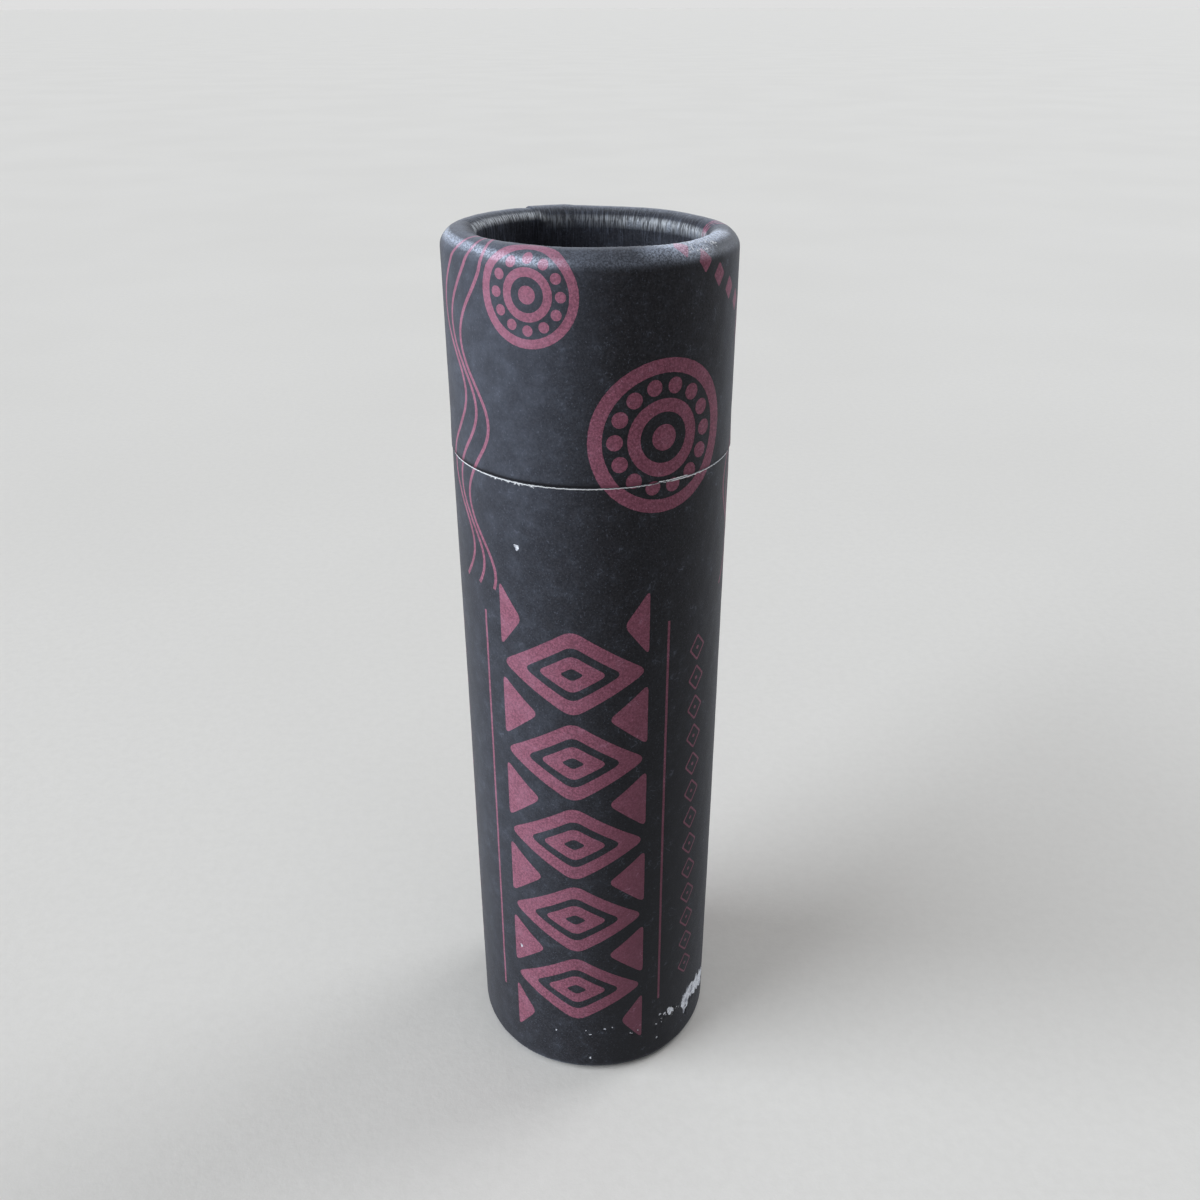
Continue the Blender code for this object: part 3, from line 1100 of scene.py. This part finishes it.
class Shader(Nodes):
    """The nodes of one material, which know each place in millimetres."""

    def __init__(self, name):
        self.material = bpy.data.materials.new(name)
        self.material.use_nodes = True
        super().__init__(self.material.node_tree)
        self.surface = self.tree.nodes["Principled BSDF"]
        places = self.new("TexCoord").outputs["Object"]
        scaled = self.new("VectorMath", places, operation="SCALE")
        scaled.inputs["Scale"].default_value = 1 / MM
        self.millimetres = scaled.outputs[0]
        self.x, self.y, self.z = self.new("SeparateXYZ", self.millimetres).outputs

    def angle(self):
        return self.maths("ARCTAN2", self.x, self.times(self.y, -1.0))

    def radius(self):
        square = self.maths("ADD", self.times(self.x, self.x), self.times(self.y, self.y))
        return self.maths("SQRT", square)

    def streaks(self, per_mm, length_share):
        """Noise drawn out along the folds of a rim: up its walls and across its top."""
        around_tube = self.times(self.angle(), 9.0)
        up = self.times(self.z, length_share)
        out = self.times(self.radius(), length_share)
        vector = self.new("CombineXYZ", around_tube, up, out).outputs[0]
        return self.noise(per_mm, rough=0.6, vector=vector)

    def noise(self, per_mm, detail=3.0, rough=0.55, vector=None):
        node = self.new("TexNoise", vector or self.millimetres)
        for name, value in (("Scale", per_mm), ("Detail", detail), ("Roughness", rough)):
            node.inputs[name].default_value = value
        return node.outputs["Fac"]

    def attribute(self, name):
        return self.new("Attribute", attribute_name=name).outputs["Fac"]

    def fit(self, value, low, high, to_low=0.0, to_high=1.0):
        values = (value, low, high, to_low, to_high)
        return self.new("MapRange", *values, interpolation_type="SMOOTHSTEP").outputs["Result"]

    def mix(self, share, first, second):
        node = self.new("Mix", share, data_type="RGBA")
        self.link(first, node.inputs[6])
        self.link(second, node.inputs[7])
        return node.outputs[2]

    def bump(self, height, strength, depth):
        """Adds relief, on top of any that is there already."""
        node = self.new("Bump", strength, depth)
        self.link(height, node.inputs["Height"])
        normal = self.surface.inputs["Normal"]
        if normal.is_linked:
            self.link(normal.links[0].from_socket, node.inputs["Normal"])
        self.link(node.outputs["Normal"], normal)

    def finish(self, base, roughness, **constants):
        self.link(base, self.surface.inputs["Base Color"])
        self.link(roughness, self.surface.inputs["Roughness"])
        for name, value in constants.items():
            self.surface.inputs[name.replace("_", " ")].default_value = value
        return self.material


def colour(red, green, blue):
    return (red, green, blue, 1.0)


WHITE_CORE = colour(0.78, 0.79, 0.82)
PALE_CREASE_AND_GLINT = colour(0.80, 0.83, 0.87)

# Ranges of noise that show: from, to, and the amounts these stand for where not 0 and 1
MIDDLE = (0.3, 0.7)
GRAIN_SHOWN = (0.38, 0.64)
CLOUD_SHOWN = (0.45, 0.70, 0.0, 0.10)
DUST_SHOWN = (0.59, 0.74, 0.0, 0.6)
PAINTED_SHEEN_PATCHES = (0.30, 0.70, 0.7, 1.05)
FIBRE_WIDTH = (0.005, 0.03, 1.0, 0.0)
FIBRE_PATCHES = (0.55, 0.66)
RIDGE_WEAR_AND_GLINTS_SHOWN = (0.50, 0.64)
SCRATCHES_SHOWN = (0.40, 0.60, 0.28, 1.12)
CREASES_SHOWN = (0.44, 0.60, 0.15, 1.0)
CORE_SHOWN = (0.98, 1.10)


def worn_paper(name, dark, light, speck_and_sheen, burnish_highlight):
    """Uncoated paper: grain and specks, burnished bends, pleats, and a scuffed white core, with
    painted highlights on the bends and pleat ridges, painted sheen where light falls, and painted
    shade at the cap's cut edge and on the right.
    """
    shader = Shader(name)
    fit, times, mix, noise = shader.fit, shader.times, shader.mix, shader.noise
    fold = shader.attribute("fold")
    burnish_and_highlight = shader.attribute("burnish_and_highlight")
    mottle = noise(0.7, detail=4.0, rough=0.7)
    grain = noise(6.0, rough=0.8)
    lower = shader.new("VectorMath", shader.millimetres, (1.0, 1.0, 0.75), operation="MULTIPLY")
    flecks = noise(8.0, detail=2.0, rough=0.8, vector=lower.outputs[0])
    scratches = noise(8.0, rough=0.8)
    creases = shader.streaks(9.0, 0.11)
    # Painted shade: on the right, most of all low down, the lighter grain, clouds and specks are
    # taken away.
    unshaded = shader.maths("SUBTRACT", 1.0, shader.attribute("painted_right_shade"))
    base = mix(times(fit(grain, *GRAIN_SHOWN), unshaded), dark, light)
    wander = shader.maths("ABSOLUTE", shader.maths("SUBTRACT", noise(1.5, detail=1.0), 0.5))
    fibres = times(fit(wander, *FIBRE_WIDTH), fit(mottle, *FIBRE_PATCHES))
    for amount in (
        times(fit(mottle, *CLOUD_SHOWN), unshaded),
        times(fit(flecks, *DUST_SHOWN), unshaded),
        # Painted sheen: lighter, bluer paper where light falls on it.
        times(shader.attribute("painted_sheen"), fit(mottle, *PAINTED_SHEEN_PATCHES)),
        times(fibres, 0.30),
    ):
        base = mix(amount, base, speck_and_sheen)
    # Painted highlight: burnished bends and creases are painted pale, as where they catch the
    # light.
    marks = fit(fold, 0.0, 1.0, fit(scratches, *SCRATCHES_SHOWN), fit(creases, *CREASES_SHOWN))
    base = mix(times(times(burnish_and_highlight, marks), 0.95), base, mix(fold, burnish_highlight, PALE_CREASE_AND_GLINT))
    # Painted glints, with some real rubbing: the ridges of the pleats are painted lighter.
    base = mix(times(times(fold, fit(creases, *RIDGE_WEAR_AND_GLINTS_SHOWN)), 0.45), base, speck_and_sheen)
    # Painted shade: the cap's cut edge is painted dark where the seam's gap lies in shadow.
    base = mix(shader.attribute("painted_gap_shade"), base, dark)
    core = shader.maths("ADD", shader.attribute("scuff"), times(noise(4.5, rough=0.7), 0.9))
    base = mix(fit(core, *CORE_SHOWN), base, WHITE_CORE)
    shader.bump(grain, 0.6, 0.025 * MM)
    shader.bump(creases, times(fold, 0.9), 0.07 * MM)
    return shader.finish(
        base,
        shader.maths("SUBTRACT", fit(grain, *MIDDLE, 0.42, 0.54), times(burnish_and_highlight, 0.16)),
        Sheen_Weight=0.06,
        Sheen_Roughness=0.50,
        Sheen_Tint=colour(0.66, 0.76, 1.0),
        Specular_IOR_Level=0.12,
        Specular_Tint=colour(0.80, 0.88, 1.0),
    )


def paper_core():
    shader = Shader("paper_core")
    grain = shader.noise(6.0, detail=4.0, rough=0.7)
    torn = shader.fit(shader.noise(1.5, rough=0.7), 0.50, 0.62, 0.0, 0.72)
    fibre = shader.fit(grain, 0.32, 0.62)
    base = shader.mix(fibre, colour(0.42, 0.44, 0.50), colour(0.84, 0.87, 0.94))
    base = shader.mix(torn, base, colour(0.17, 0.18, 0.24))
    shader.bump(grain, 0.8, 0.05 * MM)
    return shader.finish(base, 0.92)


def board(name, dark, light, helix_pitch=None):
    """Wound white board: fibres, flecks, and the long seam of its outer strip if it has one."""
    shader = Shader(name)
    grain = shader.noise(2.0, detail=5.0, rough=0.65)
    flecks = shader.noise(8.0, detail=2.0)
    base = shader.mix(shader.fit(grain, *MIDDLE), dark, light)
    base = shader.mix(shader.fit(flecks, 0.66, 0.76, 0.0, 0.45), base, dark)
    if helix_pitch:
        turns = shader.maths("DIVIDE", shader.angle(), TURN)
        climb = shader.maths("DIVIDE", shader.z, helix_pitch)
        place = shader.maths("FRACT", shader.maths("ADD", climb, turns))
        off = shader.maths("ABSOLUTE", shader.maths("SUBTRACT", place, 0.5))
        seam = shader.fit(off, 0.0, 0.10 / helix_pitch, 1.0, 0.0)
        base = shader.mix(shader.times(seam, 0.7), base, colour(0.22, 0.20, 0.18))
        shader.bump(seam, 0.8, -0.06 * MM)
    shader.bump(grain, 0.5, 0.03 * MM)
    return shader.finish(base, 0.86)


def greaseproof():
    shader = Shader("greaseproof")
    cloud = shader.noise(1.3, detail=4.0)
    clouded = shader.fit(cloud, *MIDDLE)
    base = shader.mix(clouded, colour(0.60, 0.55, 0.44), colour(0.74, 0.70, 0.60))
    shader.bump(shader.streaks(1.4, 0.04), 0.3, 0.03 * MM)
    return shader.finish(base, shader.fit(cloud, *MIDDLE, 0.28, 0.42))


def wax():
    shader = Shader("balm")
    clouded = shader.fit(shader.noise(0.35), *MIDDLE)
    grain = shader.noise(4.0)
    drag = shader.streaks(2.2, 0.03)
    base = shader.mix(clouded, colour(0.71, 0.59, 0.35), colour(0.76, 0.65, 0.41))
    base = shader.mix(shader.fit(drag, 0.55, 0.75, 0.0, 0.25), base, colour(0.81, 0.74, 0.56))
    shader.bump(grain, 0.25, 0.02 * MM)
    shader.bump(drag, 0.2, 0.03 * MM)
    gloss = shader.fit(grain, *MIDDLE, 0.32, 0.46)
    return shader.finish(base, gloss, Subsurface_Weight=0.25, Subsurface_Scale=1.5 * MM)


# Floor, light and camera

# Each lamp: the way it comes from, how many degrees wide it is, its strength and its colour
SUNS = {
    "sky_left": ((-1.0, -0.34, 0.48), 50, 3.4, (0.88, 0.94, 1.0)),
    "sky_back": ((0.1, 1.0, 0.40), 50, 0.3, (0.88, 0.94, 1.0)),
    "sky_right": ((0.80, 0.52, 0.50), 30, 1.15, (0.92, 0.96, 1.0)),
    "sky_top": ((0.1, -0.2, 1.0), 50, 0.6, (0.97, 0.98, 1.0)),
}


def make_floor():
    mesh = bpy.data.meshes.new("floor")
    reach = 60.0
    corners = [(-reach, -reach, 0), (reach, -reach, 0), (reach, reach, 0), (-reach, reach, 0)]
    mesh.from_pydata(corners, [], [(0, 1, 2, 3)])
    shader = Shader("floor")
    clouded = shader.fit(shader.noise(0.012, detail=4.0, rough=0.5), *MIDDLE)
    grain = shader.noise(0.9, detail=4.0, rough=0.7)
    base = shader.mix(clouded, colour(0.730, 0.705, 0.670), colour(0.755, 0.730, 0.695))
    base = shader.mix(shader.fit(grain, 0.3, 0.75, 0.0, 0.3), base, colour(0.66, 0.635, 0.60))
    shader.bump(grain, 0.3, 0.1 * MM)
    link_piece("floor", mesh, [shader.finish(base, 0.9)])


def make_light():
    world = bpy.data.worlds.new("studio")
    world.use_nodes = True
    nodes = Nodes(world.node_tree)
    lighting = nodes.tree.nodes["Background"]
    lighting.inputs["Color"].default_value = colour(0.98, 0.98, 1.0)
    lighting.inputs["Strength"].default_value = 0.125
    backdrop = nodes.new("Background", colour(0.74, 0.74, 0.74))
    path = nodes.new("LightPath").outputs
    seen = nodes.maths("MAXIMUM", path["Is Camera Ray"], path["Is Transmission Ray"])
    shown = nodes.maths("MAXIMUM", seen, path["Is Glossy Ray"])
    mix = nodes.new("MixShader", shown, lighting.outputs[0], backdrop.outputs[0])
    nodes.link(mix.outputs[0], nodes.tree.nodes["World Output"].inputs["Surface"])
    bpy.context.scene.world = world
    for name, (source, spread, strength, tint) in SUNS.items():
        lamp = bpy.data.lights.new(name, "SUN")
        lamp.angle = math.radians(spread)
        lamp.energy = strength
        lamp.color = tint
        holder = bpy.data.objects.new(name, lamp)
        holder.rotation_euler = Vector(source).to_track_quat("Z", "Y").to_euler()
        bpy.context.scene.collection.objects.link(holder)


def make_camera():
    data = bpy.data.cameras.new("camera")
    data.sensor_width = SENSOR
    data.lens = SENSOR * FOCAL_PIXELS / IMAGE_SIZE
    data.clip_start, data.clip_end = CAMERA_CLIP
    camera = bpy.data.objects.new("camera", data)
    camera.location = CAMERA_PLACE
    tilt = Euler((math.pi / 2 - CAMERA_PITCH, 0, 0)).to_matrix()
    roll = Euler((0, 0, CAMERA_ROLL)).to_matrix()
    camera.rotation_euler = (tilt @ roll).to_euler()
    bpy.context.scene.collection.objects.link(camera)
    bpy.context.scene.camera = camera


def dress(piece, body, node):
    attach(piece, body)
    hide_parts(node)


def main():
    bpy.context.scene.view_settings.view_transform = "Standard"
    make_camera()
    make_light()
    make_floor()

    # Each paper's speck colour also paints its sheen, and its last colour paints the highlights on
    # its burnished bends.
    black = worn_paper(
        "black_paper",
        dark=colour(0.0058, 0.0050, 0.0054),
        light=colour(0.0250, 0.0228, 0.0256),
        speck_and_sheen=colour(0.130, 0.146, 0.190),
        burnish_highlight=colour(0.52, 0.58, 0.71),
    )
    ink = worn_paper(
        "printed_ink",
        dark=colour(0.122, 0.037, 0.058),
        light=colour(0.310, 0.100, 0.151),
        speck_and_sheen=colour(0.48, 0.23, 0.33),
        burnish_highlight=colour(0.72, 0.51, 0.65),
    )
    papers = (black, ink, paper_core())
    white = board("white_board", colour(0.46, 0.45, 0.42), colour(0.66, 0.64, 0.60))
    light = colour(0.68, 0.66, 0.62)
    wound = board("wound_board", colour(0.50, 0.49, 0.46), light, helix_pitch=24.0)
    waxed = greaseproof()

    outlines = [(PRINT, outline) for outline in ornament()]
    for centre, height, half_width, half_height, seed in CHIPS:
        outlines.append((CHIP, blob((centre, height), half_width, half_height, seed)))

    wraps = {
        "body": Wrap(
            BODY_TOP, 0.0, fold_columns=800, seed=100,
            pleats=0.025 * MM, sway=0.010 * MM, flare=-0.01 * MM,
        ),
        "cap": Wrap(
            CAP_FOOT, TUBE_TOP, fold_columns=1400, seed=200,
            pleats=0.028 * MM, sway=0.022 * MM, flare=0.05 * MM,
            tilt=0.10 * MM, tilt_angle=-1.9, lip=0.24 * MM,
        ),
    }
    for name, wrap in wraps.items():
        paper = make_wrap(name + "_paper", wrap, outlines, papers)
        dress(paper, name, name + "_wrap")
    for name, wrap in wraps.items():
        dress(make_board_tube(name + "_board", wrap, white), name, name + "_tube")

    neck = spin("neck_board", tube_outline("neck_tube", NECK_WALL), wound, board_wobble(seed=41))
    dress(neck, "body", "neck_tube")
    liner = spin("liner_paper", liner_outline(), waxed, board_wobble(seed=43, reach=0.005))
    dress(liner, "body", "neck_liner")
    cup = tube_outline("push_sleeve", SLEEVE_WALL)
    sleeve = spin("cup_sleeve", cup, white, board_wobble(seed=45, reach=0.006))
    dress(sleeve, "stick", "push_sleeve")
    disc = disc_outline("push_disc", count=3)
    finger = spin("finger_disc", disc, white, disc_wobble(seed=47, reach=0.012))
    dress(finger, "stick", "push_disc")
    balm = spin("balm_stick", balm_outline(), wax(), balm_wobble, columns=256, sharp=60)
    dress(balm, "stick", "balm")
    disc = disc_outline("cap_end_disc", count=2)
    end = spin("end_disc", disc, white, disc_wobble(seed=49, reach=0.012))
    dress(end, "cap", "cap_end_disc")
    disc = disc_outline("cap_disc_facing", count=1)
    facing = spin("end_facing", disc, black, disc_wobble(seed=51, reach=0.02))
    dress(facing, "cap", "cap_disc_facing")
    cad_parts["barrier_disc"].material_slots[0].material = waxed


main()
